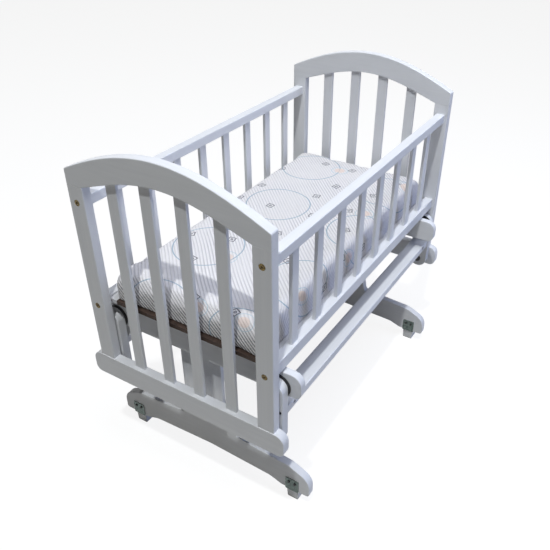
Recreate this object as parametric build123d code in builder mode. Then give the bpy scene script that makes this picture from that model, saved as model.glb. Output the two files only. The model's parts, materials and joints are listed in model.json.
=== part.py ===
from build123d import *
import os

os.makedirs("parts", exist_ok=True)

# A swinging cradle on its stand, in millimetres.
#
# X runs along the cradle, Y across it and Z up from the floor. The origin lies on the floor
# under the middle. "Right" is the +X end and "left" the -X end, "back" the +Y side and
# "front" the -Y side. Each piece is modelled for the right end and the back side, and its
# mirror images make the others. Only the crossbars aren't mirror images: each is screwed to
# the -X face of its upright, so the right one is the left one moved along X.
#
# The slatted basket hangs between two swing frames, one on each side. A swing frame is a
# pair of upright links joined by a stretcher: it turns on pins in the stand's crossbars,
# and the basket's end boards turn on pins at its lower ends, so the basket stays level.

# ---- Fits -----------------------------------------------------------------------------
wood_fit = 0.1          # each side of a slat, dowel or nut in its hole
screw_fit = 0.25        # radial, round a bolt that passes through a piece
thread_fit = 0.05       # radial, between a shank and the nut, insert or wood that holds it
running_fit = 0.05      # radial, between a pivot pin and its bush
axial_gap = 0.3         # between faces that turn against each other
bed_clearance = 0.5     # round the edge of the bed board
eased_edge = 2.0        # rounding of the long edges of all the timber
slat_round = 1.8        # rounding of the slats' edges
seam_ease = 0.8         # bevel round the top of a post, where the arched rail sits on it

# ---- Basket ---------------------------------------------------------------------------
basket_length = 971.4   # over the posts
basket_width = 526.4    # over the posts
post_thick = 24.5
post_width = 44.1

end_board_height = 65.0
end_board_thick = 24.0
end_board_overhang = 26.8   # at each end, past the post
end_board_proud = 2.3       # how far it stands out past the posts
end_board_top_round = 25.5
end_board_bottom_round = 18.0

arch_crown = 917.8          # top edge at the middle
arch_fall = 83.1            # its fall towards the posts' outer faces ...
arch_lift = 9.6             # ... less this, which straightens it near the ends
arch_depth = 58.2           # down to the under edge at the middle
arch_under_fall = 95.7
arch_under_lift = 30.6
arch_corner_round = 5.0
arch_stations = 4           # spline points on each half of an arched edge

end_slat_width = 30.2
end_slat_offsets = (45.5, 139.8)    # the slats' distances from the middle
end_slat_recess = 8.7               # their set-back from the posts' outer faces
slat_thick = 9.5
end_slat_tenon = 12.0               # depth of a slat's end in the piece that holds it

rail_width = 25.0
top_rail_height = 25.0
top_rail_drop = 150.8       # from the arch's crown down to the rail's middle
bottom_rail_height = 32.0
bottom_rail_lift = 0.5      # its middle above the underside of the bed board
side_slat_width = 26.0
side_slat_count = 8
side_slat_tenon = 9.0

bed_height = 489.0          # underside of the bed board, on its cleats
bed_board_thick = 11.0
bed_board_setback = 4.2     # of each end from the posts' inner faces
cleat_size = 15.0
cleat_setback = 21.2
mattress_setback = 5.2
mattress_thick = 74.0
mattress_clearance = 2.0    # between the mattress and the side rails
mattress_corner_round = 28.0
mattress_edge_round = 20.0

# ---- Swing frames ---------------------------------------------------------------------
link_reach = 129.0          # from the upper pivot down to the lower one
lower_pivot_rise = 31.0     # of the lower pivot above the end board's lower edge
link_width = 55.0
link_thick = 24.5
link_post_gap = 3.2
stretcher_width = 47.5
stretcher_thick = 22.0
stretcher_drop = 68.0       # from the upper pivot down to the stretcher's middle
buffer_drop = 53.0          # buffer below the upper pivot
buffer_offset = 21.0        # buffer out from the line of the pivots
buffer_radius = 3.5
buffer_thick = 2.4
buffer_stem_radius = 2.0
buffer_stem_length = 8.0

# ---- Stand ----------------------------------------------------------------------------
spacer_thick = 3.2
spacer_radius = 32.0
spacer_neck_radius = 9.0    # the tube that carries a spacer out from the right crossbar
crossbar_overhang = 57.85   # at each end, past the upper pivot
crossbar_clearance = 8.0    # under the cleats
crossbar_height = 66.0
upper_pivot_rise = 24.0     # of the upper pivot above the crossbar's lower edge
crossbar_thick = 20.0
crossbar_skin = 4.0             # wood left beyond the pin holes of the right crossbar
crossbar_top_round = 26.0
crossbar_bottom_round = 20.0
upright_width = 123.0
upright_thick = 12.0
upright_bottom = 153.0
upright_top_drop = 8.0      # upright's top below the crossbar's top
foot_length = 620.0
foot_thick = 22.0
# The foot's edge, as heights above the floor and distances, near the middle from the middle
# and elsewhere from the toe
foot_hump_half = 66.0           # corner of the hump that the upright is screwed to
foot_hump_z = 229.0
foot_waist_half = 84.0          # where the hump meets the arm
foot_waist_z = 136.0
foot_arm_reach = 150.0
foot_arm_z = 127.0
foot_shoulder_reach = 60.0
foot_shoulder_z = 121.0
foot_nose_z = 94.0
foot_pad_length = 84.0          # the flat over each glide
foot_pad_z = 36.0
foot_under_reach = 118.0
foot_under_z = 48.0
foot_under_mid_z = 57.0
foot_hump_round = 10.0
foot_waist_round = 12.0
foot_arm_round = 150.0
foot_shoulder_round = 60.0
foot_nose_round = 42.0
foot_toe_round = 9.0
foot_pad_round = 20.0
foot_under_round = 60.0
tie_height = 70.0               # the rail that ties the two ends of the stand
tie_thick = 22.0
tie_z = 279.0
tie_bolt_spacing = 30.0

# ---- Glides under the feet ------------------------------------------------------------
glide_reach = 50.0              # from the toe to the middle of the glide
glide_width = 36.0
glide_length = 44.0
glide_inset = 1.0               # from the foot's -X face, where the bracket is screwed on
glide_taper = 4.0               # degrees
glide_round = 4.0
sole_thick = 2.5
sole_inset = 1.5
bracket_thick = 2.0
bracket_plate_width = 39.0
bracket_plate_top = 76.0
bracket_corner_round = 3.0
bracket_screw_spacing = 18.0
bracket_screw_z = 64.0
bracket_screw_radius = 2.0
bracket_screw_head_radius = 3.5
bracket_screw_head_length = 2.2
bracket_screw_length = 16.0
glide_floor = 4.0               # nylon over the head of the screw inside a glide
glide_bore_radius = 4.0

# ---- Bolts, nuts, dowels and screws ---------------------------------------------------
bolt_radius = 3.0
bolt_head_radius = 7.5
bolt_head_length = 4.0
bolt_hole_radius = 8.0          # the counterbore in a post
bolt_recess = 4.0
bolt_overrun = 7.0              # how far a bolt passes the axis of its barrel nut
nut_radius = 5.0
nut_length = 16.0
nut_setback = 33.5              # from a rail's end to its barrel nut
flat_head_radius = 6.5
flat_head_length = 2.2
tie_head_radius = 6.0
tie_head_length = 3.0
pin_radius = 4.0
bush_radius = 6.0
insert_radius = 6.0
insert_length = 14.0
pin_tip = 1.0                   # from a pin's tip to the bottom of its insert
lower_spacer_radius = 8.0
lower_head_radius = 8.0
lower_head_length = 4.0
cap_wall = 1.6
upper_head_radius = 11.0
upper_head_length = 2.2
tee_flange_radius = 11.0
tee_flange_thick = 1.5
tee_barrel_radius = 5.5
tee_barrel_length = 9.0
upper_pin_overrun = 4.0         # how far the pin passes its tee nut's flange
dowel_radius = 4.0
dowel_length = 48.0
dowel_spacing = 26.0
screw_radius = 2.5
screw_head_radius = 4.5
screw_head_length = 2.5
screw_spacing_y = 70.0
crossbar_screw_length = 24.0
crossbar_screw_spacing_z = 30.0
foot_screw_length = 32.0
foot_screw_spacing_z = 42.0
cleat_screw_length = 30.0
cleat_screw_positions = (-330.0, -100.0, 100.0, 330.0)

# ---- Places that follow ---------------------------------------------------------------
post_outer_x = basket_length / 2
post_inner_x = post_outer_x - post_thick
post_mid_x = post_outer_x - post_thick / 2
post_outer_y = basket_width / 2
post_inner_y = post_outer_y - post_width
post_y = post_outer_y - post_width / 2
end_board_inner_x = post_outer_x + end_board_proud - end_board_thick
end_board_length = basket_width + 2 * end_board_overhang
end_slat_x = post_outer_x - end_slat_recess - slat_thick / 2
rail_inner_y = post_y - rail_width / 2
rail_length = 2 * post_inner_x
bottom_rail_z = bed_height + bottom_rail_lift
bottom_rail_top = bottom_rail_z + bottom_rail_height / 2
top_rail_z = arch_crown - top_rail_drop
top_rail_bottom = top_rail_z - top_rail_height / 2
side_slat_gap = (rail_length - side_slat_count * side_slat_width) / (side_slat_count + 1)
side_slat_pitch = side_slat_gap + side_slat_width
cleat_inner_y = rail_inner_y - cleat_size
cleat_length = rail_length - 2 * cleat_setback
cleat_z = bed_height - cleat_size / 2
bed_board_length = rail_length - 2 * bed_board_setback
bed_top = bed_height + bed_board_thick
mattress_length = rail_length - 2 * mattress_setback

crossbar_top = bed_height - cleat_size - crossbar_clearance
crossbar_bottom = crossbar_top - crossbar_height
upper_pivot_z = crossbar_bottom + upper_pivot_rise
lower_pivot_z = upper_pivot_z - link_reach
end_board_bottom = lower_pivot_z - lower_pivot_rise
end_board_top = end_board_bottom + end_board_height
stretcher_z = upper_pivot_z - stretcher_drop
stretcher_outer_y = post_y + stretcher_width / 2

link_outer_x = post_inner_x - link_post_gap
link_inner_x = link_outer_x - link_thick
crossbar_outer_x = link_inner_x - axial_gap - spacer_thick
crossbar_inner_x = crossbar_outer_x - crossbar_thick
crossbar_length = 2 * (post_y + crossbar_overhang)
upright_inner_x = crossbar_inner_x - upright_thick
crossbar_pitch = crossbar_inner_x + upright_inner_x     # from the left crossbar to the right one
upright_top = crossbar_top - upright_top_drop
foot_inner_x = upright_inner_x - foot_thick
crossbar_screw_z = (crossbar_bottom + upright_top) / 2
foot_screw_z = (upright_bottom + foot_hump_z) / 2
foot_half = foot_length / 2
glide_y = foot_half - glide_reach
glide_top = foot_pad_z - bracket_thick

both_ways = (-1, 1)


def bow(y, crown, fall, lift):
    """Height of an arched edge of an end panel, at the distance y from its middle."""
    share = (y / post_outer_y) ** 2
    return crown - fall * share + lift * share**2


def arch_top(y):
    return bow(y, arch_crown, arch_fall, arch_lift)


def arch_under(y):
    return bow(y, arch_crown - arch_depth, arch_under_fall, arch_under_lift)


def bowed_points(edge, half_span):
    """Points of an arched edge, from -half_span to half_span."""
    steps = range(-arch_stations, arch_stations + 1)
    return [(half_span * i / arch_stations, edge(half_span * i / arch_stations)) for i in steps]


post_top = arch_under(post_inner_y)

# ---- Helpers --------------------------------------------------------------------------
def facing_out(x, y, z):
    """A plane at the right end that faces away from the middle of the cradle."""
    return Plane(origin=(x, y, z), x_dir=(0, 1, 0), z_dir=(1, 0, 0))


def facing_in(x, y, z):
    """A plane at the right end that faces the middle of the cradle."""
    return Plane(origin=(x, y, z), x_dir=(0, -1, 0), z_dir=(-1, 0, 0))


def save(piece, name):
    """Label a finished piece and write it to its own file."""
    piece.label = name
    export_step(piece, f"parts/{name}.step")


def mirrored(piece, plane):
    with BuildPart() as image:
        add(piece)
        mirror(about=plane, mode=Mode.REPLACE)
    return image.part


def with_mirror(piece, plane):
    """A piece together with its mirror image, as separate solids."""
    with BuildPart() as pair:
        add(piece)
        mirror(about=plane)
    return pair.part


def save_ends(piece, name):
    """Write a piece of the right end, and its mirror image at the left end."""
    save(piece, f"right_{name}")
    save(mirrored(piece, Plane.YZ), f"left_{name}")


def save_sides(piece, name):
    """Write a piece of the back side, and its mirror image at the front."""
    save(piece, f"back_{name}")
    save(mirrored(piece, Plane.XZ), f"front_{name}")


def save_corners(piece, name):
    """Write a piece of the right back corner, and its images at the other three."""
    for side, of_side in (("back", piece), ("front", mirrored(piece, Plane.XZ))):
        save(of_side, f"right_{side}_{name}")
        save(mirrored(of_side, Plane.YZ), f"left_{side}_{name}")


def bolt(shank, length, head, head_length):
    """A bolt whose head stands up from the origin and whose shank runs down from it."""
    with BuildPart() as body:
        with BuildSketch():
            Circle(head)
        extrude(amount=head_length)
        with BuildSketch():
            Circle(shank)
        extrude(amount=-length)
        with BuildSketch(Plane.XY.offset(head_length)):
            RegularPolygon(radius=head / 2, side_count=6)
        extrude(amount=-head_length / 2, mode=Mode.SUBTRACT)
    return body.part


def tube(outer, inner, length):
    """A tube that runs up from the origin."""
    with BuildPart() as body:
        with BuildSketch():
            Circle(outer)
            Circle(inner, mode=Mode.SUBTRACT)
        extrude(amount=length)
    return body.part


def flush_screw(length):
    """A wood screw with the top of its flat head at the origin, pointing down."""
    with BuildPart() as body:
        with BuildSketch():
            Circle(screw_head_radius)
        extrude(amount=-screw_head_length)
        with BuildSketch():
            Circle(screw_radius)
        extrude(amount=-length)
    return body.part


def cut_screw_holes(planes, length):
    """In the open part, cut a flush screw's hole down from each plane."""
    with Locations(*planes):
        CounterBoreHole(screw_radius + thread_fit, screw_head_radius + thread_fit, screw_head_length, length)


def placed(piece, places):
    """Copies of a piece, as separate solids."""
    with BuildPart() as group:
        with Locations(*places):
            add(piece)
    return group.part


def together(*pieces):
    """Several pieces in one part, as separate solids."""
    with BuildPart() as group:
        for piece in pieces:
            add(piece)
    return group.part


def barrel_nut():
    """A cross dowel along Z, centred on the origin and drilled along X for its bolt."""
    with BuildPart() as body:
        Cylinder(nut_radius, nut_length)
        Cylinder(bolt_radius + thread_fit, 2 * nut_radius, rotation=(0, 90, 0), mode=Mode.SUBTRACT)
    return body.part


def cut_end_bore(end_x, y, z, setback):
    """In the open part, bore both ends along X for a bolt that reaches past its barrel nut."""
    length = setback + bolt_overrun + thread_fit
    with Locations(*[(way * (end_x - length / 2), y, z) for way in both_ways]):
        Cylinder(bolt_radius + screw_fit, length, rotation=(0, 90, 0), mode=Mode.SUBTRACT)


# ---- Slats ----------------------------------------------------------------------------
def end_slat_set(fit):
    """The four slats of the right end, grown by a fit on every side."""
    low_z = end_board_top - end_slat_tenon - fit
    with BuildPart() as slats:
        for y in end_slat_offsets:
            with BuildSketch(Plane.XY.offset(low_z)):
                with Locations((end_slat_x, -y), (end_slat_x, y)):
                    RectangleRounded(slat_thick + 2 * fit, end_slat_width + 2 * fit, slat_round)
            extrude(amount=arch_under(y) + end_slat_tenon + fit - low_z)
    return slats.part


def side_slat_set(fit):
    """The slats of the back side, grown by a fit on every side."""
    low_z = bottom_rail_top - side_slat_tenon - fit
    with BuildPart() as slats:
        with BuildSketch(Plane.XY.offset(low_z)):
            with Locations((0, post_y)):
                with GridLocations(side_slat_pitch, 0, side_slat_count, 1):
                    RectangleRounded(side_slat_width + 2 * fit, slat_thick + 2 * fit, slat_round)
        extrude(amount=top_rail_bottom + side_slat_tenon + fit - low_z)
    return slats.part


save_ends(end_slat_set(0), "end_slats")
save_sides(side_slat_set(0), "side_slats")

# ---- End panels -----------------------------------------------------------------------
dowel_rows = (post_y - dowel_spacing / 2, post_y + dowel_spacing / 2)
board_dowels = [((end_board_inner_x + post_outer_x) / 2, y, end_board_top) for y in dowel_rows]
arch_dowels = [(post_mid_x, y, post_top) for y in dowel_rows]


def cut_dowel_holes(places):
    with Locations(*places):
        Cylinder(dowel_radius + wood_fit, dowel_length + 2 * wood_fit, mode=Mode.SUBTRACT)


def on_both_sides(places):
    return [(x, side * y, z) for x, y, z in places for side in both_ways]


with BuildPart() as post:
    with BuildSketch(Plane.XY.offset(end_board_top)):
        with Locations((post_mid_x, post_y)):
            Rectangle(post_thick, post_width)
    extrude(amount=post_top - end_board_top)
    fillet(post.edges().filter_by(Axis.Z), eased_edge)
    chamfer(post.faces().sort_by(Axis.Z)[-1].edges(), seam_ease)
    with Locations(*[facing_out(post_outer_x, post_y, z) for z in (bottom_rail_z, top_rail_z)]):
        CounterBoreHole(bolt_radius + screw_fit, bolt_hole_radius, bolt_recess, post_thick)
    cut_dowel_holes(board_dowels + arch_dowels)
save_corners(post.part, "post")

with BuildPart() as arch_rail:
    with BuildSketch(Plane.YZ.offset(post_inner_x)) as arch_outline:
        with BuildLine():
            top_edge = Spline(*bowed_points(arch_top, post_outer_y))
            under_edge = Spline(*bowed_points(arch_under, post_inner_y))
            Polyline(top_edge @ 1, (post_outer_y, post_top), under_edge @ 1)
            Polyline(top_edge @ 0, (-post_outer_y, post_top), under_edge @ 0)
        make_face()
        fillet(arch_outline.vertices().group_by(Axis.Y)[-1], arch_corner_round)
    extrude(amount=post_thick)
    fillet(arch_rail.edges().filter_by(GeomType.BSPLINE), eased_edge)
    add(end_slat_set(wood_fit), mode=Mode.SUBTRACT)
    cut_dowel_holes(on_both_sides(arch_dowels))
save_ends(arch_rail.part, "arch_rail")

with BuildPart() as end_board:
    with BuildSketch(Plane.YZ.offset(end_board_inner_x)) as board_outline:
        with Locations((0, end_board_bottom + end_board_height / 2)):
            Rectangle(end_board_length, end_board_height)
        fillet(board_outline.vertices().group_by(Axis.Y)[-1], end_board_top_round)
        fillet(board_outline.vertices().group_by(Axis.Y)[0], end_board_bottom_round)
    extrude(amount=end_board_thick)
    fillet(end_board.faces().filter_by(Axis.X).edges(), eased_edge)
    add(end_slat_set(wood_fit), mode=Mode.SUBTRACT)
    cut_dowel_holes(on_both_sides(board_dowels))
    with Locations(*[facing_in(end_board_inner_x, way * post_y, lower_pivot_z) for way in both_ways]):
        Hole(insert_radius + thread_fit, insert_length)
save_ends(end_board.part, "end_board")

dowel = Cylinder(dowel_radius, dowel_length)
dowels_of_end = placed(dowel, on_both_sides(board_dowels + arch_dowels))
save(with_mirror(dowels_of_end, Plane.YZ), "panel_dowels")

# ---- Side rails -----------------------------------------------------------------------
nut_x = post_inner_x - nut_setback


def side_rail(height, middle_z):
    """A rail of the back side, with its slat mortises and the bores for bolts and nuts."""
    nut_hole_length = height / 2 + nut_length / 2 + wood_fit
    nut_hole_z = middle_z - height / 2 + nut_hole_length / 2
    with BuildPart() as rail:
        with Locations((0, post_y, middle_z)):
            Box(rail_length, rail_width, height)
        fillet(rail.edges().filter_by(Axis.X), eased_edge)
        add(side_slat_set(wood_fit), mode=Mode.SUBTRACT)
        cut_end_bore(post_inner_x, post_y, middle_z, nut_setback)
        with Locations(*[(way * nut_x, post_y, nut_hole_z) for way in both_ways]):
            Cylinder(nut_radius + wood_fit, nut_hole_length, mode=Mode.SUBTRACT)
    return rail.part


cleat_screw_planes = [
    Plane(origin=(x, cleat_inner_y, cleat_z), x_dir=(1, 0, 0), z_dir=(0, -1, 0))
    for x in cleat_screw_positions
]
save_sides(side_rail(top_rail_height, top_rail_z), "top_rail")

with BuildPart() as bottom_rail:
    add(side_rail(bottom_rail_height, bottom_rail_z))
    cut_screw_holes(cleat_screw_planes, cleat_screw_length)
save_sides(bottom_rail.part, "bottom_rail")

with BuildPart() as cleat:
    with Locations((0, rail_inner_y - cleat_size / 2, cleat_z)):
        Box(cleat_length, cleat_size, cleat_size)
    cut_screw_holes(cleat_screw_planes, cleat_screw_length)
save_sides(cleat.part, "cleat")

cleat_screws = placed(flush_screw(cleat_screw_length), cleat_screw_planes)
save(with_mirror(cleat_screws, Plane.XZ), "cleat_screws")

bolt_seat_x = post_outer_x - bolt_recess
bolt_length = bolt_seat_x - nut_x + bolt_overrun
connector_bolt = bolt(bolt_radius, bolt_length, bolt_head_radius, bolt_head_length)
connector_planes = [facing_out(bolt_seat_x, post_y, z) for z in (bottom_rail_z, top_rail_z)]
corner_bolts = placed(connector_bolt, connector_planes)
save(with_mirror(with_mirror(corner_bolts, Plane.XZ), Plane.YZ), "connector_bolts")

corner_nuts = placed(barrel_nut(), [(nut_x, post_y, z) for z in (bottom_rail_z, top_rail_z)])
save(with_mirror(with_mirror(corner_nuts, Plane.XZ), Plane.YZ), "connector_nuts")

# ---- Bed ------------------------------------------------------------------------------
with BuildPart() as bed_board:
    with Locations((0, 0, bed_height + bed_board_thick / 2)):
        Box(bed_board_length, 2 * (rail_inner_y - bed_clearance), bed_board_thick)
save(bed_board.part, "bed_board")

with BuildPart() as mattress:
    with BuildSketch(Plane.XY.offset(bed_top)):
        mattress_width = 2 * (rail_inner_y - mattress_clearance)
        RectangleRounded(mattress_length, mattress_width, mattress_corner_round)
    extrude(amount=mattress_thick)
    fillet(mattress.faces().sort_by(Axis.Z)[-1].edges(), mattress_edge_round)
save(mattress.part, "mattress")

# ---- Lower pivots: pins fixed in the basket's end boards ------------------------------
insert = tube(insert_radius, pin_radius + thread_fit, insert_length)
insert_place = facing_out(end_board_inner_x, post_y, lower_pivot_z)
corner_insert = placed(insert, [insert_place])
save(with_mirror(with_mirror(corner_insert, Plane.XZ), Plane.YZ), "pivot_inserts")

lower_spacer_length = end_board_inner_x - link_outer_x - axial_gap
lower_spacer = tube(lower_spacer_radius, pin_radius + screw_fit, lower_spacer_length)
lower_spacer_place = facing_out(link_outer_x + axial_gap, post_y, lower_pivot_z)
corner_spacer = placed(lower_spacer, [lower_spacer_place])
save(with_mirror(with_mirror(corner_spacer, Plane.XZ), Plane.YZ), "lower_spacers")

lower_seat_x = link_inner_x - axial_gap
lower_pin_length = end_board_inner_x + insert_length - pin_tip - lower_seat_x
lower_pin = bolt(pin_radius, lower_pin_length, lower_head_radius, lower_head_length)
corner_lower_pin = placed(lower_pin, [facing_in(lower_seat_x, post_y, lower_pivot_z)])
save(with_mirror(with_mirror(corner_lower_pin, Plane.XZ), Plane.YZ), "lower_pivot_pins")

with BuildPart() as cap:
    with BuildSketch():
        Circle(lower_head_radius + thread_fit + cap_wall)
    extrude(amount=lower_head_length + cap_wall)
    fillet(cap.faces().sort_by(Axis.Z)[-1].edges(), cap_wall)
    with BuildSketch():
        Circle(lower_head_radius + thread_fit)
    extrude(amount=lower_head_length, mode=Mode.SUBTRACT)
corner_cap = placed(cap.part, [facing_in(lower_seat_x, post_y, lower_pivot_z)])
save(with_mirror(with_mirror(corner_cap, Plane.XZ), Plane.YZ), "pivot_caps")

# ---- Swing frames ---------------------------------------------------------------------
buffer_place = facing_out(link_outer_x, post_y + buffer_offset, upper_pivot_z - buffer_drop)

with BuildPart() as link:
    with BuildSketch(Plane.YZ.offset(link_inner_x)):
        with Locations((post_y, (upper_pivot_z + lower_pivot_z) / 2)):
            SlotCenterToCenter(link_reach, link_width, rotation=90)
    extrude(amount=link_thick)
    fillet(link.faces().filter_by(Axis.X).edges(), eased_edge)
    with Locations(*[facing_out(link_outer_x, post_y, z) for z in (lower_pivot_z, upper_pivot_z)]):
        Hole(bush_radius + thread_fit, link_thick)
    with Locations(facing_out(link_outer_x, post_y, stretcher_z)):
        Hole(bolt_radius + screw_fit, link_thick)
    with Locations(buffer_place):
        Hole(buffer_stem_radius + thread_fit, buffer_stem_length)
save_corners(link.part, "link")

with BuildPart() as stretcher:
    with Locations((0, post_y, stretcher_z)):
        Box(2 * link_inner_x, stretcher_width, stretcher_thick)
    fillet(stretcher.edges().filter_by(Axis.X), eased_edge)
    cut_end_bore(link_inner_x, post_y, stretcher_z, nut_setback)
    stretcher_nut_x = link_inner_x - nut_setback
    nut_hole_depth = stretcher_width / 2 + nut_length / 2 + wood_fit
    nut_mouths = [(way * stretcher_nut_x, stretcher_outer_y, stretcher_z) for way in both_ways]
    with Locations(*[Plane(origin=mouth, x_dir=(1, 0, 0), z_dir=(0, 1, 0)) for mouth in nut_mouths]):
        Hole(nut_radius + wood_fit, nut_hole_depth)
save_sides(stretcher.part, "stretcher")

bush = tube(bush_radius, pin_radius + running_fit, link_thick)
bush_places = [facing_out(link_inner_x, post_y, z) for z in (lower_pivot_z, upper_pivot_z)]
save_sides(with_mirror(placed(bush, bush_places), Plane.YZ), "link_bushes")

stretcher_bolt_length = link_outer_x - stretcher_nut_x + bolt_overrun
stretcher_bolt = bolt(bolt_radius, stretcher_bolt_length, flat_head_radius, flat_head_length)
stretcher_bolt_place = facing_out(link_outer_x, post_y, stretcher_z)
save_sides(with_mirror(placed(stretcher_bolt, [stretcher_bolt_place]), Plane.YZ), "stretcher_bolts")

across = Location((stretcher_nut_x, post_y, stretcher_z), (90, 0, 0))
save_sides(with_mirror(placed(barrel_nut(), [across]), Plane.YZ), "stretcher_nuts")

with BuildPart() as buffer:
    with BuildSketch():
        Circle(buffer_radius)
    extrude(amount=buffer_thick)
    fillet(buffer.faces().sort_by(Axis.Z)[-1].edges(), buffer_thick / 3)
    with BuildSketch():
        Circle(buffer_stem_radius)
    extrude(amount=-buffer_stem_length)
save_sides(with_mirror(placed(buffer.part, [buffer_place]), Plane.YZ), "link_buffers")

# ---- Stand ends -----------------------------------------------------------------------
def screw_planes(facing, x, middle_z, spacing_z):
    """Four planes at x that face in or out, for screws driven down from them."""
    heights = (middle_z - spacing_z / 2, middle_z + spacing_z / 2)
    return [facing(x, way * screw_spacing_y / 2, z) for way in both_ways for z in heights]


crossbar_screw_planes = screw_planes(facing_in, upright_inner_x, crossbar_screw_z, crossbar_screw_spacing_z)
right_bar_planes = screw_planes(facing_out, crossbar_inner_x, crossbar_screw_z, crossbar_screw_spacing_z)
foot_screw_planes = screw_planes(facing_in, foot_inner_x, foot_screw_z, foot_screw_spacing_z)
crossbar_places = [(0, 0, 0), (crossbar_pitch, 0, 0)]


def crossbar(pin_hole_depth):
    """The left crossbar's mirror image, with its pin holes bored outwards to a depth."""
    with BuildPart() as board:
        with BuildSketch(Plane.YZ.offset(crossbar_inner_x)) as outline:
            with Locations((0, crossbar_bottom + crossbar_height / 2)):
                Rectangle(crossbar_length, crossbar_height)
            fillet(outline.vertices().group_by(Axis.Y)[-1], crossbar_top_round)
            fillet(outline.vertices().group_by(Axis.Y)[0], crossbar_bottom_round)
        extrude(amount=crossbar_thick)
        fillet(board.faces().filter_by(Axis.X).edges(), eased_edge)
        with Locations(*[facing_in(crossbar_inner_x, way * post_y, upper_pivot_z) for way in both_ways]):
            CounterBoreHole(
                pin_radius + screw_fit, tee_barrel_radius + wood_fit, tee_barrel_length, pin_hole_depth
            )
        cut_screw_holes(crossbar_screw_planes, crossbar_screw_length)
    return board.part


save(mirrored(crossbar(crossbar_thick), Plane.YZ), "left_crossbar")
blind_crossbar = mirrored(crossbar(crossbar_thick - crossbar_skin), Plane.YZ)
save(placed(blind_crossbar, crossbar_places[1:]), "right_crossbar")

tie_bolt_heights = (tie_z - tie_bolt_spacing / 2, tie_z + tie_bolt_spacing / 2)


def upright(bar_screw_planes):
    """The right upright, with its crossbar's screw holes cut down from the planes."""
    with BuildPart() as board:
        with BuildSketch(Plane.XY.offset(upright_bottom)):
            with Locations((crossbar_inner_x - upright_thick / 2, 0)):
                Rectangle(upright_thick, upright_width)
        extrude(amount=upright_top - upright_bottom)
        fillet(board.edges().filter_by(Axis.Z), eased_edge)
        cut_screw_holes(bar_screw_planes, crossbar_screw_length)
        cut_screw_holes(foot_screw_planes, foot_screw_length)
        with Locations(*[facing_out(crossbar_inner_x, 0, z) for z in tie_bolt_heights]):
            Hole(bolt_radius + screw_fit, upright_thick)
    return board.part


save(upright(right_bar_planes), "right_upright")
save(mirrored(upright(crossbar_screw_planes), Plane.YZ), "left_upright")

bracket_screw_rows = (-bracket_screw_spacing / 2, bracket_screw_spacing / 2)
glide_screw_x = glide_inset + (foot_thick - glide_inset) / 2


def foot_blank():
    """The right foot's board, with the holes for the upright's screws."""
    with BuildPart() as board:
        with BuildSketch(Plane.YZ.offset(foot_inner_x)):
            with BuildLine():
                FilletPolyline(
                    (0, foot_hump_z),
                    (foot_hump_half, foot_hump_z),
                    (foot_waist_half, foot_waist_z),
                    (foot_half - foot_arm_reach, foot_arm_z),
                    (foot_half - foot_shoulder_reach, foot_shoulder_z),
                    (foot_half, foot_nose_z),
                    (foot_half, foot_pad_z),
                    (foot_half - foot_pad_length, foot_pad_z),
                    (foot_half - foot_under_reach, foot_under_z),
                    (0, foot_under_mid_z),
                    radius=[
                        foot_hump_round,
                        foot_waist_round,
                        foot_arm_round,
                        foot_shoulder_round,
                        foot_nose_round,
                        foot_toe_round,
                        foot_pad_round,
                        foot_under_round,
                    ],
                )
                mirror(about=Plane.YZ)
            make_face()
        extrude(amount=foot_thick)
        fillet(board.faces().filter_by(Axis.X).edges(), eased_edge)
        cut_screw_holes(foot_screw_planes, foot_screw_length)
    return board.part


# The brackets of both feet are screwed to the foot's -X face, so all four glides stand out
# on the same side. A bracket, its glide and its screws are made about the point of that
# face above which the bracket's plate is centred.
foot_faces = {"right": foot_inner_x, "left": -upright_inner_x}
plate_screw_places = [
    Location((-bracket_thick, y, bracket_screw_z), (0, -90, 0)) for y in bracket_screw_rows
]
glide_screw_place = Location((glide_screw_x, 0, glide_top - glide_floor), (180, 0, 0))

for end, face_x in foot_faces.items():
    with BuildPart() as foot:
        add(foot_blank() if end == "right" else mirrored(foot_blank(), Plane.YZ))
        for way in both_ways:
            with Locations(*[(face_x, way * glide_y + y, bracket_screw_z) for y in bracket_screw_rows]):
                depth = bracket_screw_length - bracket_thick
                Cylinder(
                    bracket_screw_radius + thread_fit, 2 * depth, rotation=(0, 90, 0), mode=Mode.SUBTRACT
                )
            with Locations((face_x + glide_screw_x, way * glide_y, foot_pad_z)):
                depth = bracket_screw_length - bracket_thick - glide_floor
                Cylinder(bracket_screw_radius + thread_fit, 2 * depth, mode=Mode.SUBTRACT)
    save(foot.part, f"{end}_foot")

crossbar_screws = placed(flush_screw(crossbar_screw_length), crossbar_screw_planes)
save(placed(mirrored(crossbar_screws, Plane.YZ), crossbar_places), "crossbar_screws")
foot_screws = placed(flush_screw(foot_screw_length), foot_screw_planes)
save(with_mirror(foot_screws, Plane.YZ), "foot_screws")

# ---- Tie rail of the stand ------------------------------------------------------------
tie_nut_x = upright_inner_x - nut_setback

with BuildPart() as tie_rail:
    with Locations((0, 0, tie_z)):
        Box(2 * upright_inner_x, tie_thick, tie_height)
    fillet(tie_rail.edges().filter_by(Axis.X), eased_edge)
    for height in tie_bolt_heights:
        cut_end_bore(upright_inner_x, 0, height, nut_setback)
    tie_nut_mouths = [(way * tie_nut_x, tie_thick / 2, z) for way in both_ways for z in tie_bolt_heights]
    with Locations(*[Plane(origin=mouth, x_dir=(1, 0, 0), z_dir=(0, 1, 0)) for mouth in tie_nut_mouths]):
        Hole(nut_radius + wood_fit, tie_thick / 2 + nut_length / 2 + wood_fit)
save(tie_rail.part, "tie_rail")

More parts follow.
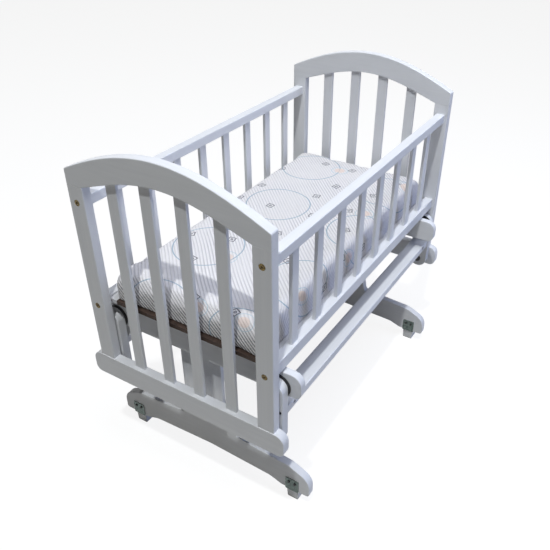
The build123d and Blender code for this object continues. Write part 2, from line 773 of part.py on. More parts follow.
tie_bolt_length = crossbar_inner_x - tie_nut_x + bolt_overrun
tie_bolt = bolt(bolt_radius, tie_bolt_length, tie_head_radius, tie_head_length)
tie_bolts = placed(tie_bolt, [facing_out(crossbar_inner_x, 0, z) for z in tie_bolt_heights])
save(with_mirror(tie_bolts, Plane.YZ), "tie_bolts")
tie_nuts = placed(barrel_nut(), [Location((tie_nut_x, 0, z), (90, 0, 0)) for z in tie_bolt_heights])
save(with_mirror(tie_nuts, Plane.YZ), "tie_nuts")

# ---- Upper pivots: pins fixed in the stand's crossbars --------------------------------
def out_at_pivots(piece, x):
    """A piece at the upper pivots of the right end, front and back, facing out from x."""
    return placed(piece, [facing_out(x, way * post_y, upper_pivot_z) for way in both_ways])


# A disc keeps each link off its crossbar. The right crossbar lies farther in than the left
# one, so there the disc has a neck that reaches back to the tee nut in the crossbar.
spacer = tube(spacer_radius, pin_radius + screw_fit, spacer_thick)
neck_x = upright_inner_x + tee_flange_thick
neck_length = crossbar_outer_x - neck_x

with BuildPart() as necked_spacer:
    add(tube(spacer_neck_radius, pin_radius + screw_fit, neck_length))
    with Locations((0, 0, neck_length)):
        add(spacer)

left_spacers = mirrored(out_at_pivots(spacer, crossbar_outer_x), Plane.YZ)
save(together(left_spacers, out_at_pivots(necked_spacer.part, neck_x)), "pivot_discs")

upper_seat_x = link_outer_x + axial_gap
left_pin_length = upper_seat_x - crossbar_inner_x + tee_flange_thick + upper_pin_overrun
left_pin = bolt(pin_radius, left_pin_length, upper_head_radius, upper_head_length)
right_pin_length = upper_seat_x - (upright_inner_x - crossbar_thick + crossbar_skin) - pin_tip
right_pin = bolt(pin_radius, right_pin_length, upper_head_radius, upper_head_length)
left_pins = mirrored(out_at_pivots(left_pin, upper_seat_x), Plane.YZ)
save(together(left_pins, out_at_pivots(right_pin, upper_seat_x)), "upper_pivot_pins")

with BuildPart() as tee_nut:
    with BuildSketch():
        Circle(tee_flange_radius)
    extrude(amount=tee_flange_thick)
    with BuildSketch():
        Circle(tee_barrel_radius)
    extrude(amount=-tee_barrel_length)
    with Locations((0, 0, tee_flange_thick)):
        Hole(pin_radius + thread_fit, tee_flange_thick + tee_barrel_length)
tee_nut_planes = [facing_in(crossbar_inner_x, way * post_y, upper_pivot_z) for way in both_ways]
left_tee_nuts = mirrored(placed(tee_nut.part, tee_nut_planes), Plane.YZ)
save(placed(left_tee_nuts, crossbar_places), "tee_nuts")

# ---- Glides ---------------------------------------------------------------------------
glide_places = [(x, way * glide_y, 0) for x in foot_faces.values() for way in both_ways]
glide_x = glide_inset + glide_length / 2

with BuildPart() as bracket:
    with BuildSketch(Plane.YZ.offset(-bracket_thick)) as plate_outline:
        with Locations((0, (glide_top + bracket_plate_top) / 2)):
            Rectangle(bracket_plate_width, bracket_plate_top - glide_top)
        fillet(plate_outline.vertices(), bracket_corner_round)
    extrude(amount=bracket_thick)
    with Locations((glide_x / 2 + glide_length / 4 - bracket_thick / 2, 0, foot_pad_z - bracket_thick / 2)):
        Box(glide_x + glide_length / 2 + bracket_thick, glide_width, bracket_thick)
    with Locations(*plate_screw_places):
        Hole(bracket_screw_radius + thread_fit, bracket_thick)
    with Locations((glide_screw_x, 0, foot_pad_z)):
        Hole(bracket_screw_radius + thread_fit, bracket_thick)
save(placed(bracket.part, glide_places), "glide_brackets")

with BuildPart() as glide:
    with BuildSketch(Plane.XY.offset(glide_top)):
        with Locations((glide_x, 0)):
            RectangleRounded(glide_length, glide_width, glide_round)
    extrude(amount=-(glide_top - sole_thick), taper=glide_taper)
    with Locations((glide_screw_x, 0, sole_thick)):
        Cylinder(
            glide_bore_radius,
            glide_top - glide_floor - sole_thick,
            align=(Align.CENTER, Align.CENTER, Align.MIN),
            mode=Mode.SUBTRACT,
        )
    with Locations((glide_screw_x, 0, glide_top)):
        Hole(bracket_screw_radius + thread_fit, glide_floor)
save(placed(glide.part, glide_places), "glides")

with BuildPart() as sole:
    glide_base = glide.faces().sort_by(Axis.Z)[0].bounding_box().size
    with BuildSketch():
        with Locations((glide_x, 0)):
            RectangleRounded(glide_base.X - sole_inset, glide_base.Y - sole_inset, glide_round / 2)
    extrude(amount=sole_thick)
save(placed(sole.part, glide_places), "glide_soles")

bracket_screw = bolt(
    bracket_screw_radius, bracket_screw_length, bracket_screw_head_radius, bracket_screw_head_length
)
screws_of_bracket = placed(bracket_screw, plate_screw_places + [glide_screw_place])
save(placed(screws_of_bracket, glide_places), "bracket_screws")
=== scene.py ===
import json
import math

import bpy
import numpy as np
from mathutils import Matrix, Vector, noise


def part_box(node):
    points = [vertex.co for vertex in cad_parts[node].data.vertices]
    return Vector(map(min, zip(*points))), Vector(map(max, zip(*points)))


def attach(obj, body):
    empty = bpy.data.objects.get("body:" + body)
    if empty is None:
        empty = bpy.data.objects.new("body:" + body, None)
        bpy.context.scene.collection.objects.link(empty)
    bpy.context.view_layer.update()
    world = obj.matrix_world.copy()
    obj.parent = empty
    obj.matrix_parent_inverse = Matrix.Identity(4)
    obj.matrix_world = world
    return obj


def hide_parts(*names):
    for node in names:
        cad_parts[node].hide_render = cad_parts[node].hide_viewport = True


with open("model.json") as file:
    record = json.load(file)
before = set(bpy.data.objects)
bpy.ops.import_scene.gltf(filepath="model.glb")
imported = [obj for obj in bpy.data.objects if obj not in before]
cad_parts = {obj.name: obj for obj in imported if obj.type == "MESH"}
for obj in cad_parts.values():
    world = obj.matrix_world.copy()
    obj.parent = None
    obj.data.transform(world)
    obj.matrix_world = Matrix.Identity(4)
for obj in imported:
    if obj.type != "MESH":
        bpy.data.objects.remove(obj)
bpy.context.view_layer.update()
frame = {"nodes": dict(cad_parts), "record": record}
nodes = frame["nodes"]
scene = bpy.context.scene

# ---- Camera ---------------------------------------------------------------------------
CAMERA_PLACE = (-1.3008, -0.7975, 1.4119)
AZIMUTH, ELEVATION, ROLL = (math.radians(angle) for angle in (-60.417, 33.811, 1.329))
SENSOR_WIDTH, FOCAL_LENGTH = 36.0, 41.30      # mm
FRAME_SHIFT = (-0.0553, -0.0009)              # in widths of the frame


def make_camera():
    """The camera at the photograph's place, with its lens and the small shift of its frame."""
    back = Vector((
        math.sin(AZIMUTH) * math.cos(ELEVATION),
        -math.cos(AZIMUTH) * math.cos(ELEVATION),
        math.sin(ELEVATION),
    ))
    level = Vector((math.cos(AZIMUTH), math.sin(AZIMUTH), 0))
    rise = back.cross(level)
    right = math.cos(ROLL) * level + math.sin(ROLL) * rise
    up = math.cos(ROLL) * rise - math.sin(ROLL) * level
    lens = bpy.data.cameras.new("camera")
    lens.sensor_fit, lens.sensor_width, lens.lens = "HORIZONTAL", SENSOR_WIDTH, FOCAL_LENGTH
    lens.shift_x, lens.shift_y = FRAME_SHIFT
    lens.clip_start, lens.clip_end = 0.05, 100.0
    lens.dof.use_dof = False
    camera = bpy.data.objects.new("camera", lens)
    turned = Matrix((right, up, back)).transposed().to_4x4()
    camera.matrix_world = Matrix.Translation(CAMERA_PLACE) @ turned
    scene.collection.objects.link(camera)
    scene.camera = camera


make_camera()


# ---- Materials ------------------------------------------------------------------------
class Shader:
    """A node material with a Principled BSDF, and short calls that add nodes to it."""

    def __init__(self, name, **finish):
        self.material = bpy.data.materials.new(name)
        self.material.use_nodes = True
        self.tree = self.material.node_tree
        self.bsdf = self.tree.nodes["Principled BSDF"]
        for socket, value in finish.items():
            self.bsdf.inputs[socket.replace("_", " ")].default_value = value

    def put(self, socket, value):
        """Gives a socket its value, or links it to the socket that makes it."""
        if isinstance(value, bpy.types.NodeSocket):
            self.tree.links.new(value, socket)
        else:
            socket.default_value = value

    def node(self, kind, inputs=(), **settings):
        """A new node; inputs are pairs of a socket's name or number and its value or source."""
        made = self.tree.nodes.new("ShaderNode" + kind)
        for name, value in settings.items():
            setattr(made, name, value)
        for socket, value in inputs:
            self.put(made.inputs[socket], value)
        return made

    def calc(self, operation, *values):
        return self.node("Math", list(enumerate(values)), operation=operation).outputs[0]

    def vector(self, operation, *values):
        made = self.node("VectorMath", list(enumerate(values)), operation=operation)
        return made.outputs["Value" if operation in ("LENGTH", "DOT_PRODUCT") else "Vector"]

    def split(self, vector):
        return self.node("SeparateXYZ", [(0, vector)]).outputs

    def mix(self, share, first, second):
        made = self.node("Mix", [(0, share), (6, first), (7, second)], data_type="RGBA")
        return made.outputs[2]

    def fade(self, value, start, end, low=0.0, high=1.0):
        """Maps start..end smoothly to low..high, clamped."""
        inputs = [(0, value), (1, start), (2, end), (3, low), (4, high)]
        return self.node("MapRange", inputs, interpolation_type="SMOOTHSTEP").outputs[0]

    def place(self, scale=(1, 1, 1)):
        """Object coordinates in metres, stretched by a scale."""
        source = self.node("TexCoord").outputs["Object"]
        return self.vector("MULTIPLY", source, scale)

    def noise(self, where, scale, detail=2.0, roughness=0.5):
        """Cloud noise about 0.5: a scale of n gives features about 1 / n across."""
        inputs = [("Vector", where), ("Scale", scale), ("Detail", detail), ("Roughness", roughness)]
        return self.node("TexNoise", inputs).outputs[0]

    def edges(self, reach):
        """Near 1 on outer and inner edges and 0 on open faces."""
        rounded = self.node("Bevel", [("Radius", reach)], samples=4).outputs[0]
        true = self.node("NewGeometry").outputs["Normal"]
        return self.fade(self.vector("DOT_PRODUCT", rounded, true), 0.995, 0.86)

    def bump(self, height, distance, under=None):
        """A bump of the given depth in metres, laid over another one if that is given."""
        inputs = [("Height", height), ("Distance", distance), ("Strength", 1.0)]
        made = self.node("Bump", inputs + ([("Normal", under)] if under else []))
        return made.outputs[0]

    def finish(self, **outputs):
        for socket, value in outputs.items():
            self.put(self.bsdf.inputs[socket.replace("_", " ")], value)
        return self.material


WHITE_LOW, WHITE_HIGH = (0.765, 0.775, 0.795, 1), (0.815, 0.825, 0.840, 1)
WHITE_CLOUDED = (0.770, 0.775, 0.780, 1)
WHITE_SCUFFED = (0.66, 0.65, 0.62, 1)
GRAIN_ACROSS, GRAIN_ALONG = 90.0, 5.0         # streaks per metre


def white_paint(name, along):
    """Satin paint on pine whose grain runs along one axis: the grain stands up a little."""
    paint = Shader(name, Specular_IOR_Level=0.32)
    stretch = [GRAIN_ACROSS] * 3
    stretch[along] = GRAIN_ALONG
    grain = paint.noise(paint.place(stretch), 1.0, detail=5.0, roughness=0.6)
    rings = paint.noise(paint.place([s / 5 for s in stretch]), 1.0, detail=2.0)
    orange_peel = paint.noise(paint.place(), 520.0, detail=1.0)
    cloud = paint.noise(paint.place(), 7.0, detail=3.0)
    edge = paint.edges(0.0022)
    streak = paint.fade(paint.calc("ADD", grain, paint.calc("MULTIPLY", rings, 0.6)), 0.5, 1.1)
    tone = paint.mix(streak, WHITE_LOW, WHITE_HIGH)
    tone = paint.mix(paint.fade(cloud, 0.35, 0.75, 0.0, 0.30), tone, WHITE_CLOUDED)
    scuff = paint.calc("MULTIPLY", edge, paint.fade(cloud, 0.42, 0.62, 0.05, 0.40))
    tone = paint.mix(scuff, tone, WHITE_SCUFFED)
    dulled = paint.calc("ADD", cloud, paint.calc("MULTIPLY", edge, 0.25))
    roughness = paint.fade(dulled, 0.3, 0.9, 0.34, 0.48)
    raised = paint.bump(grain, 0.00030)
    raised = paint.bump(orange_peel, 0.00006, raised)
    return paint.finish(Base_Color=tone, Roughness=roughness, Normal=raised)


PINE_EARLY, PINE_LATE = (0.60, 0.41, 0.21, 1), (0.42, 0.25, 0.11, 1)


def bare_pine():
    """Unpainted pine, for the dowels: its grain runs along Z."""
    wood = Shader("bare_pine", Specular_IOR_Level=0.3)
    where = wood.place((160.0, 160.0, 9.0))
    grain = wood.noise(where, 1.0, detail=5.0, roughness=0.6)
    return wood.finish(
        Base_Color=wood.mix(wood.fade(grain, 0.35, 0.7), PINE_EARLY, PINE_LATE),
        Roughness=wood.fade(grain, 0.3, 0.7, 0.55, 0.75),
        Normal=wood.bump(grain, 0.0003),
    )


BOARD_DARK, BOARD_BROWN = (0.026, 0.016, 0.012, 1), (0.070, 0.042, 0.030, 1)
BOARD_SPECK = (0.13, 0.08, 0.055, 1)
MARGIN_LOW, MARGIN_HIGH = (0.60, 0.60, 0.61, 1), (0.68, 0.68, 0.70, 1)
PALE_MARGIN = 0.022                           # its width along the long sides of the bed board


def dark_board(sheet):
    """Brown faced fibre board, with fibres in its cut edges and a pale margin on its long sides."""
    board = Shader("dark_board", Specular_IOR_Level=0.35)
    fibres = board.noise(board.place((60.0, 60.0, 900.0)), 1.0, detail=6.0, roughness=0.7)
    specks = board.noise(board.place(), 420.0, detail=3.0, roughness=0.7)
    tone = board.mix(board.fade(fibres, 0.3, 0.7), BOARD_DARK, BOARD_BROWN)
    tone = board.mix(board.fade(specks, 0.6, 0.72, 0.0, 0.5), tone, BOARD_SPECK)
    reach = [corner[1] for corner in sheet.bound_box]
    off_middle = board.calc("SUBTRACT", board.split(board.place())[1], (max(reach) + min(reach)) / 2)
    inner = (max(reach) - min(reach)) / 2 - PALE_MARGIN
    margin = board.fade(board.calc("ABSOLUTE", off_middle), inner - 0.0005, inner)
    pale = board.mix(board.fade(specks, 0.3, 0.7), MARGIN_LOW, MARGIN_HIGH)
    return board.finish(
        Base_Color=board.mix(margin, tone, pale),
        Roughness=board.fade(specks, 0.3, 0.7, 0.55, 0.8),
        Normal=board.bump(specks, 0.0002),
    )


WORN_STEEL = (0.72, 0.72, 0.70, 1)
BLACKED_LOW, BLACKED_HIGH = (0.018, 0.018, 0.020, 1), (0.042, 0.041, 0.040, 1)
BLACKED_WORN = (0.30, 0.29, 0.28, 1)


def plated_steel(name, dull, bright, roughness, spangle=260.0):
    """Plated steel: the plating clouds over and wears to bright metal along the edges."""
    steel = Shader(name, Metallic=1.0)
    cloud = steel.noise(steel.place(), spangle, detail=4.0, roughness=0.65)
    edge = steel.edges(0.0006)
    tone = steel.mix(steel.fade(cloud, 0.35, 0.68), dull, bright)
    tone = steel.mix(steel.calc("MULTIPLY", edge, 0.6), tone, WORN_STEEL)
    return steel.finish(
        Base_Color=tone,
        Roughness=steel.fade(cloud, 0.3, 0.7, roughness, roughness + 0.16),
        Normal=steel.bump(cloud, 0.00005),
    )


def black_oxide():
    """Blackened steel with a trace of bare metal along its edges."""
    steel = Shader("black_oxide", Metallic=0.6)
    cloud = steel.noise(steel.place(), 380.0, detail=4.0, roughness=0.6)
    worn = steel.calc("MULTIPLY", steel.edges(0.0005), steel.fade(cloud, 0.45, 0.65, 0.0, 0.7))
    tone = steel.mix(steel.fade(cloud, 0.3, 0.7), BLACKED_LOW, BLACKED_HIGH)
    return steel.finish(
        Base_Color=steel.mix(worn, tone, BLACKED_WORN),
        Roughness=steel.fade(cloud, 0.3, 0.7, 0.34, 0.52),
        Normal=steel.bump(cloud, 0.00004),
    )


def moulded(name, low, high, roughness, grain=900.0, depth=0.00006):
    """Moulded plastic or rubber with a fine spark-eroded grain and paler, rubbed edges."""
    plastic = Shader(name, Specular_IOR_Level=0.45)
    texture = plastic.noise(plastic.place(), grain, detail=2.0, roughness=0.6)
    cloud = plastic.noise(plastic.place(), 60.0, detail=3.0)
    tone = plastic.mix(plastic.fade(cloud, 0.3, 0.7), low, high)
    rubbed = tuple(min(1.0, 1.25 * c + 0.03) for c in high[:3]) + (1,)
    tone = plastic.mix(plastic.calc("MULTIPLY", plastic.edges(0.0008), 0.5), tone, rubbed)
    return plastic.finish(
        Base_Color=tone,
        Roughness=plastic.fade(cloud, 0.3, 0.7, roughness, roughness + 0.12),
        Normal=plastic.bump(texture, depth),
    )


PAINT = [white_paint(f"white_paint_{'xyz'[axis]}", axis) for axis in range(3)]
# Painted shade: a much darker copy of the zinc plating, for the glide brackets.
SHADED_ZINC = plated_steel("shaded_zinc", (0.055, 0.072, 0.066, 1), (0.15, 0.185, 0.17, 1), 0.42, 150.0)
FINISHES = {
    "raw_pine": bare_pine(),
    "bed_sheet_board": dark_board(nodes["bed_board"]),
    "brassed_steel": plated_steel("brassed_steel", (0.075, 0.050, 0.020, 1), (0.22, 0.165, 0.065, 1), 0.40),
    "zinc_steel": plated_steel("zinc_steel", (0.40, 0.46, 0.44, 1), (0.58, 0.63, 0.60, 1), 0.34),
    "black_steel": black_oxide(),
    "black_plastic": moulded("black_plastic", (0.014, 0.014, 0.015, 1), (0.028, 0.028, 0.030, 1), 0.46),
    "white_nylon": moulded("white_nylon", (0.74, 0.75, 0.76, 1), (0.80, 0.81, 0.82, 1), 0.42),
    "dark_rubber": moulded("dark_rubber", (0.035, 0.034, 0.033, 1), (0.060, 0.058, 0.056, 1), 0.72, 500.0),
}
ALONG_X = ("top_rail", "bottom_rail", "stretcher", "cleat", "tie_rail")
ALONG_Y = ("arch_rail", "end_board", "crossbar", "foot")


def grain_axis(name):
    """The axis along which a painted piece is longest: 0, 1 or 2."""
    if name.endswith(ALONG_X):
        return 0
    return 1 if name.endswith(ALONG_Y) else 2


def dress_cad_nodes():
    """Gives every node the finish of its slot in the record, and the glide brackets a darkened zinc that
    paints shade on them.
    """
    for part in frame["record"]["subparts"]:
        node = nodes[part["node"]]
        material = FINISHES.get(part["material_slot"]) or PAINT[grain_axis(part["node"])]
        # The glide brackets take the darkened zinc, which paints shade on them.
        if part["node"] == "glide_brackets":
            material = SHADED_ZINC
        for place in node.material_slots:
            place.material = material
        if not node.material_slots:
            node.data.materials.append(material)


dress_cad_nodes()


# ---- Mattress -------------------------------------------------------------------------
VOXEL = 0.006
SWELL_ROOM = (0.0015, 0.0015, 0.004)          # the pad starts this much smaller on each side
SWELL_CAP = 0.009                             # the farthest that a point of the cover swells
SWELL_FRAMES = 20
SLUMP = 1.7          # above 1 the foam settles: its widest part sinks towards the board
WAIST_DEPTH, WAIST_PITCH = 0.0030, 0.30       # the cover draws in along the long sides
CLEAR_OF_SPACE = 0.0004                       # the pad stays this far inside its CAD solid's sides

KNIT = {"Roughness": 0.92, "Specular_IOR_Level": 0.2, "Sheen_Weight": 0.2, "Sheen_Roughness": 0.5}
KNIT_LOW, KNIT_HIGH = (0.835, 0.810, 0.800, 1), (0.875, 0.855, 0.850, 1)
KNIT_FUZZ = (0.74, 0.72, 0.71, 1)
RIB_PITCH = 0.0082
# The stripes' colour on the top, and a much darker one on the end faces that is painted shade.
RIB_ON_TOP, RIB_SHADED_ON_ENDS = (0.64, 0.62, 0.625, 1), (0.27, 0.27, 0.28, 1)
HOOP_CELL, HOOP_RADIUS, HOOP_WIDTH, HOOP_BLUE = 0.270, 0.092, 0.0032, (0.32, 0.43, 0.51, 1)
DISC_CELL, DISC_RADIUS, DISC_PEACH = 0.205, 0.0155, (0.86, 0.68, 0.58, 1)
RING_RADIUS, RING_WIDTH, RING_BLUE = 0.026, 0.0026, (0.50, 0.62, 0.68, 1)
MARK_CELL, MARK_BLACK = 0.112, (0.09, 0.09, 0.11, 1)
LOZENGE_REACH, LOZENGE_WIDTH = 0.0125, 0.0036
DOT_RADIUS, DOT_WIDTH = 0.0028, 0.0024
SOFT_RIM = 0.0003                             # half of the width over which a printed line fades


def striped_knit():
    """White ribbed knit with grey stripes, and a scattered print of hoops, discs and lozenges.

    The UV map holds places on the cloth in metres, continued from the top over the sides."""
    cloth = Shader("striped_knit", **KNIT)
    uv = cloth.node("UVMap", uv_map="cloth").outputs[0]
    u, v, _ = cloth.split(uv)
    normal = cloth.node("TexCoord").outputs["Normal"]
    rise = cloth.split(normal)[2]
    # Masks of the side faces and of the end faces, by which way the cloth faces: they paint shade.
    side_shade = cloth.fade(rise, 0.72, 0.12)
    end = cloth.fade(cloth.calc("ABSOLUTE", cloth.split(normal)[0]), 0.35, 0.85)

    across = cloth.calc("MULTIPLY", cloth.calc("SUBTRACT", u, v), math.sqrt(0.5) / RIB_PITCH)
    wave = cloth.calc("SINE", cloth.calc("MULTIPLY", across, 2 * math.pi))
    cloud = cloth.noise(uv, 7.0, detail=2.0)
    fuzz = cloth.noise(uv, 420.0, detail=2.0)
    stripe = cloth.fade(wave, -0.15, 0.75)
    depth = cloth.fade(cloud, 0.35, 0.65, 0.40, 1.0)
    # Painted shade: on the side faces the stripes show at full depth.
    depth = cloth.calc("MAXIMUM", depth, side_shade)
    base = cloth.mix(cloth.fade(cloud, 0.3, 0.7), KNIT_LOW, KNIT_HIGH)
    base = cloth.mix(cloth.fade(fuzz, 0.40, 0.75, 0.0, 0.25), base, KNIT_FUZZ)
    # Painted shade: the stripes are much darker on the end faces than on the top.
    line = cloth.mix(cloth.calc("MULTIPLY", end, side_shade), RIB_ON_TOP, RIB_SHADED_ON_ENDS)
    tone = cloth.mix(cloth.calc("MULTIPLY", stripe, depth), base, line)

    def spots(cell, shift, room):
        """Coordinates about a random spot in each cell, turned at random, and the cell's chance."""
        scaled = cloth.vector("ADD", cloth.vector("DIVIDE", uv, (cell, cell, 1.0)), shift)
        corner = cloth.vector("FLOOR", scaled)
        chance = cloth.node("TexWhiteNoise", [("Vector", corner)], noise_dimensions="3D")
        jitter = cloth.vector("SUBTRACT", chance.outputs["Color"], (0.5,) * 3)
        jitter = cloth.vector("MULTIPLY", jitter, (2 * room,) * 3)
        local = cloth.vector("SUBTRACT", cloth.vector("FRACTION", scaled), (0.5,) * 3)
        local = cloth.vector("MULTIPLY", cloth.vector("SUBTRACT", local, jitter), (cell, cell, 0.0))
        turn = cloth.calc("MULTIPLY", chance.outputs["Value"], 2 * math.pi)
        turned = cloth.node("VectorRotate", [("Vector", local), ("Angle", turn)], rotation_type="Z_AXIS")
        return turned.outputs[0], chance.outputs["Value"]

    def band(distance, width):
        """1 within half a width of distance 0, with a soft rim."""
        off = cloth.calc("ABSOLUTE", distance)
        return cloth.fade(off, width / 2 + SOFT_RIM, width / 2 - SOFT_RIM)

    def ring(spot, radius, width):
        return band(cloth.calc("SUBTRACT", cloth.vector("LENGTH", spot), radius), width)

    def lozenge(spot, reach, width):
        """The outline of a square that stands on its corner."""
        x, y, _ = cloth.split(spot)
        total = cloth.calc("ADD", cloth.calc("ABSOLUTE", x), cloth.calc("ABSOLUTE", y))
        return band(cloth.calc("SUBTRACT", total, reach), width)

    def printed(mask, strength, colour):
        return cloth.mix(cloth.calc("MULTIPLY", mask, strength), tone, colour)

    big, _ = spots(HOOP_CELL, (0.31, 0.17, 0.0), 0.10)
    tone = printed(ring(big, HOOP_RADIUS, HOOP_WIDTH), 0.85, HOOP_BLUE)

    middling, chance = spots(DISC_CELL, (0.62, 0.45, 0.0), 0.24)
    shown = cloth.calc("LESS_THAN", chance, 0.45)
    disc = cloth.fade(cloth.vector("LENGTH", middling), DISC_RADIUS + 0.001, DISC_RADIUS - 0.001)
    tone = printed(cloth.calc("MULTIPLY", disc, shown), 0.65, DISC_PEACH)
    rim = ring(middling, RING_RADIUS, RING_WIDTH)
    tone = printed(cloth.calc("MULTIPLY", rim, shown), 0.7, RING_BLUE)

    small, chance = spots(MARK_CELL, (0.12, 0.74, 0.0), 0.26)
    shown = cloth.calc("LESS_THAN", chance, 0.62)
    outline = lozenge(small, LOZENGE_REACH, LOZENGE_WIDTH)
    marks = cloth.calc("MAXIMUM", outline, ring(small, DOT_RADIUS, DOT_WIDTH))
    tone = printed(cloth.calc("MULTIPLY", marks, shown), 0.90, MARK_BLACK)

    raised = cloth.bump(fuzz, 0.0004)
    raised = cloth.bump(cloth.calc("SUBTRACT", 1.0, stripe), 0.0007, raised)
    return cloth.finish(Base_Color=tone, Normal=raised)


def shown_mesh(piece):
    """A new mesh of the piece with its modifiers applied."""
    graph = bpy.context.evaluated_depsgraph_get()
    return bpy.data.meshes.new_from_object(piece.evaluated_get(graph))


def points_of(mesh):
    """The places of a mesh's vertices, one row each."""
    flat = np.empty(len(mesh.vertices) * 3)
    mesh.vertices.foreach_get("co", flat)
    return flat.reshape(-1, 3)


def apply_modifier(piece, kind, **settings):
    """Changes a piece's mesh to what one modifier makes of it."""
    modifier = piece.modifiers.new(kind.lower(), kind)
    for name, value in settings.items():
        setattr(modifier, name, value)
    piece.data = shown_mesh(piece)
    piece.modifiers.clear()


def swell(piece):
    """Blows the pad up as cloth, so that its faces crown and its cover creases."""
    before = points_of(piece.data)
    modifier = piece.modifiers.new("swell", "CLOTH")
    modifier.point_cache.frame_start, modifier.point_cache.frame_end = 1, SWELL_FRAMES
    cloth = modifier.settings
    cloth.quality = 4
    cloth.mass = 0.2
    cloth.tension_stiffness = cloth.compression_stiffness = 18
    cloth.bending_stiffness = 0.3
    cloth.shrink_min = -0.012
    cloth.use_pressure = True
    cloth.uniform_pressure_force = 4.0
    cloth.effector_weights.gravity = 0.0
    for number in range(1, SWELL_FRAMES + 1):
        scene.frame_set(number)
    graph = bpy.context.evaluated_depsgraph_get()
    after = points_of(piece.evaluated_get(graph).data)
    piece.modifiers.clear()
    scene.frame_set(1)
    move = after - before
    length = np.linalg.norm(move, axis=1, keepdims=True)
    move *= SWELL_CAP * np.tanh(length / SWELL_CAP) / np.maximum(length, 1e-9)
    piece.data.vertices.foreach_set("co", (before + move).ravel())


def settle(piece, low, high):
    """Rests the pad on its board and inside its space, with a waved top and drawn-in sides."""
    points = points_of(piece.data)
    middle = (np.array(low) + np.array(high)) / 2
    thick = high[2] - low[2]
    above = np.clip((points[:, 2] - low[2]) / thick, 0, 1)
    points[:, 2] -= thick * (above - above**SLUMP)
    waves = np.array([
        0.0016 * noise.noise(Vector((p[0] * 7.0, p[1] * 9.0, 0.3)))
        + 0.0007 * noise.noise(Vector((p[0] * 24.0, p[1] * 18.0, 4.0)))
        for p in points
    ])
    points[:, 2] += above * waves
    along = (1 - np.cos(2 * np.pi * points[:, 0] / WAIST_PITCH)) / 2
    waist = WAIST_DEPTH * np.sin(np.pi * above) * along
    near_side = np.abs(points[:, 1] - middle[1]) > (high[1] - middle[1]) - 0.02
    points[:, 1] -= np.sign(points[:, 1]) * waist * near_side
    points[:, 2] = np.clip(points[:, 2], low[2] + 0.0002, high[2] + 0.006)
    for axis in (0, 1):
        inner = low[axis] + CLEAR_OF_SPACE, high[axis] - CLEAR_OF_SPACE
        points[:, axis] = np.clip(points[:, axis], *inner)
    piece.data.vertices.foreach_set("co", points.ravel())


def lay_out_cloth(piece, low, high, corner=0.028):
    """A UV map in metres: the top as it lies, and the sides folded out from its edge."""
    mesh = piece.data
    points = points_of(mesh)
    middle, half = (np.array(low) + np.array(high)) / 2, (np.array(high) - np.array(low)) / 2
    flat = points[:, :2] - middle[:2]
    outside = np.sign(flat) * np.maximum(np.abs(flat) - (half[:2] - corner), 0)
    length = np.linalg.norm(outside, axis=1, keepdims=True)
    drop = np.maximum(high[2] - 0.002 - points[:, 2], 0)[:, None]
    cloth = flat + drop * outside / np.maximum(length, 1e-6)
    cloth += 0.004 * np.array([
        [noise.noise(Vector((p[0] * 5.0, p[1] * 5.0, level))) for level in (1.0, 7.0)]
        for p in points
    ])
    corners = np.empty(len(mesh.loops), dtype=np.int32)
    mesh.loops.foreach_get("vertex_index", corners)
    layer = mesh.uv_layers.new(name="cloth")
    layer.data.foreach_set("uv", cloth[corners].astype(np.float32).ravel())


def make_mattress():
    """The pad, swollen and settled inside its CAD solid, in its knitted cover."""
    low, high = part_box("mattress")
    mesh = nodes["mattress"].data.copy()
    mesh.materials.clear()
    middle = (low + high) / 2
    points = points_of(mesh)
    for axis, room in enumerate(SWELL_ROOM):
        share = 1 - 2 * room / (high[axis] - low[axis])
        points[:, axis] = middle[axis] + (points[:, axis] - middle[axis]) * share
    points[:, 2] -= SWELL_ROOM[2]
    mesh.vertices.foreach_set("co", points.ravel())
    pad = bpy.data.objects.new("mattress_pad", mesh)
    scene.collection.objects.link(pad)
    apply_modifier(pad, "REMESH", mode="VOXEL", voxel_size=VOXEL, use_smooth_shade=True)
    swell(pad)
    settle(pad, low, high)
    apply_modifier(pad, "SUBSURF", levels=1)
    pad.data.shade_smooth()
    lay_out_cloth(pad, low, high)
    pad.data.materials.append(striped_knit())
    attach(pad, "basket")
    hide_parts("mattress")


make_mattress()


# ---- Floor, light and backdrop --------------------------------------------------------
WHITE = (1, 1, 1, 1)
FLOOR_REACH = 20.0
FLOOR_LIT = (0.53, 0.51, 0.47, 1)             # the floor that lights the cradle from below
FLOOR_SEEN, FLOOR_GLOW = (0.22, 0.22, 0.22, 1), 0.88
DIM_SKY, DIM_STRENGTH = (1.0, 0.937, 0.883, 1), 0.010
LAMPS = [      # name, place, the point it faces, size, watts, colour
    ("key", (-2.9, -1.1, 8.1), (0.0, 0.0, 0.5), (0.3, 0.2), 318.0, (0.965, 0.995, 1.0)),
    ("overhead", (0.1, -0.75, 3.0), (0.0, 0.0, 0.5), (2.0, 1.8), 48.0, (0.835, 0.880, 1.0)),
    ("front_fill", (0.9, -3.0, 1.3), (0.1, 0.0, 0.5), (1.6, 1.6), 16.0, (0.20, 0.38, 1.0)),
]


def seen_directly(tree):
    """1 for camera, mirror and glass rays, which see the white backdrop, and 0 for light."""
    path = tree.nodes.new("ShaderNodeLightPath")
    total = path.outputs["Is Camera Ray"]
    for name in ("Is Glossy Ray", "Is Transmission Ray"):
        joined = tree.nodes.new("ShaderNodeMath")
        joined.operation, joined.use_clamp = "ADD", True
        tree.links.new(total, joined.inputs[0])
        tree.links.new(path.outputs[name], joined.inputs[1])
        total = joined.outputs[0]
    return total


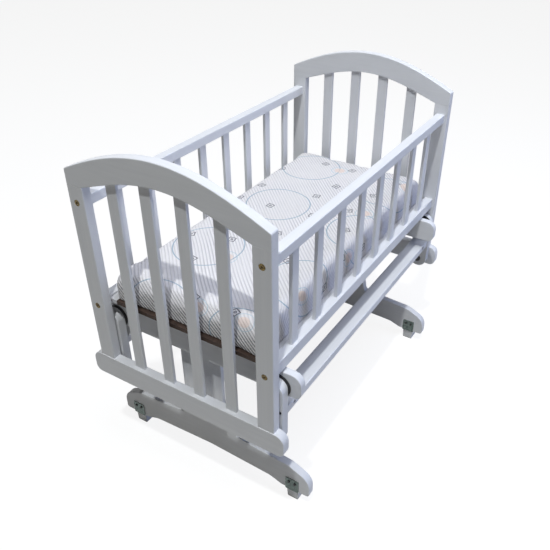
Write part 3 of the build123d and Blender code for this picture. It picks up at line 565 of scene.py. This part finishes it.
def make_floor():
    """A pale floor that looks white where nothing shades it."""
    mesh = bpy.data.meshes.new("floor")
    corners = [(x * FLOOR_REACH, y * FLOOR_REACH, 0) for x, y in ((-1, -1), (1, -1), (1, 1), (-1, 1))]
    mesh.from_pydata(corners, [], [(0, 1, 2, 3)])
    floor = bpy.data.objects.new("floor", mesh)
    scene.collection.objects.link(floor)
    material = bpy.data.materials.new("floor")
    material.use_nodes = True
    tree = material.node_tree
    tree.nodes.clear()
    lit = tree.nodes.new("ShaderNodeBsdfDiffuse")
    lit.inputs["Color"].default_value = FLOOR_LIT
    shaded = tree.nodes.new("ShaderNodeBsdfDiffuse")
    shaded.inputs["Color"].default_value = FLOOR_SEEN
    glow = tree.nodes.new("ShaderNodeEmission")
    glow.inputs["Color"].default_value = WHITE
    glow.inputs["Strength"].default_value = FLOOR_GLOW
    bright = tree.nodes.new("ShaderNodeAddShader")
    tree.links.new(shaded.outputs[0], bright.inputs[0])
    tree.links.new(glow.outputs[0], bright.inputs[1])
    either = tree.nodes.new("ShaderNodeMixShader")
    tree.links.new(seen_directly(tree), either.inputs[0])
    tree.links.new(lit.outputs[0], either.inputs[1])
    tree.links.new(bright.outputs[0], either.inputs[2])
    end = tree.nodes.new("ShaderNodeOutputMaterial")
    tree.links.new(either.outputs[0], end.inputs["Surface"])
    mesh.materials.append(material)


def make_world():
    """A white backdrop that hardly lights anything: the lamps and the floor do."""
    world = bpy.data.worlds.new("studio")
    world.use_nodes = True
    tree = world.node_tree
    tree.nodes.clear()
    dim = tree.nodes.new("ShaderNodeBackground")
    dim.inputs["Color"].default_value = DIM_SKY
    dim.inputs["Strength"].default_value = DIM_STRENGTH
    white = tree.nodes.new("ShaderNodeBackground")
    white.inputs["Color"].default_value = WHITE
    either = tree.nodes.new("ShaderNodeMixShader")
    tree.links.new(seen_directly(tree), either.inputs[0])
    tree.links.new(dim.outputs[0], either.inputs[1])
    tree.links.new(white.outputs[0], either.inputs[2])
    end = tree.nodes.new("ShaderNodeOutputWorld")
    tree.links.new(either.outputs[0], end.inputs["Surface"])
    scene.world = world


def softbox(name, place, aim, size, watts, colour):
    """An area lamp out of the camera's sight."""
    lamp = bpy.data.lights.new(name, "AREA")
    lamp.shape, lamp.size, lamp.size_y = "RECTANGLE", *size
    lamp.energy, lamp.color = watts, colour
    holder = bpy.data.objects.new(name, lamp)
    holder.location = place
    holder.visible_camera = False
    holder.rotation_euler = (Vector(aim) - Vector(place)).to_track_quat("-Z", "Y").to_euler()
    scene.collection.objects.link(holder)


make_floor()
make_world()
for lamp in LAMPS:
    softbox(*lamp)
scene.view_settings.view_transform = "Standard"
